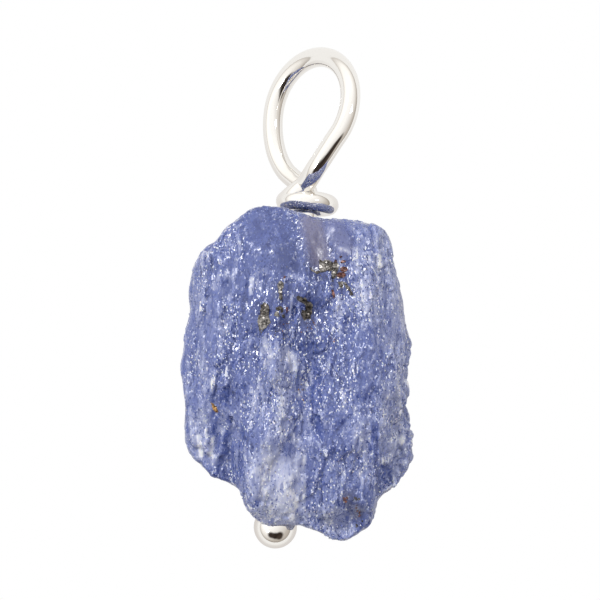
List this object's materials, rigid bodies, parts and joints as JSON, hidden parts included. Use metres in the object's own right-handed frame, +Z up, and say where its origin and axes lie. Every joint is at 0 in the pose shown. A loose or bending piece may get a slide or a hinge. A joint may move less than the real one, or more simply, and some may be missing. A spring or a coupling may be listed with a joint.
{
  "type": "rough tanzanite pendant",
  "caption": "Rough blue-violet tanzanite crystal with ridged faces and dark mineral grains, drilled lengthwise on a ball-ended silver pin with a wrapped hanging loop.",
  "frame": {"origin": "centre of the bounding box at its base, on the surface that the pendant lies on", "axes": "+X to the right of the crystal's front, +Y along the crystal to the hanging loop, +Z up out of its front"},
  "size_m": [0.0115, 0.0251, 0.0089],
  "materials": {
    "tanzanite": "rough natural crystal, translucent, glassy where broken and frosted along its ridges",
    "sterling_silver": "polished sterling silver"
  },
  "bodies": {
    "root": {"tanzanite": "tanzanite", "silver_pin": "sterling_silver"}
  },
  "joints": []
}
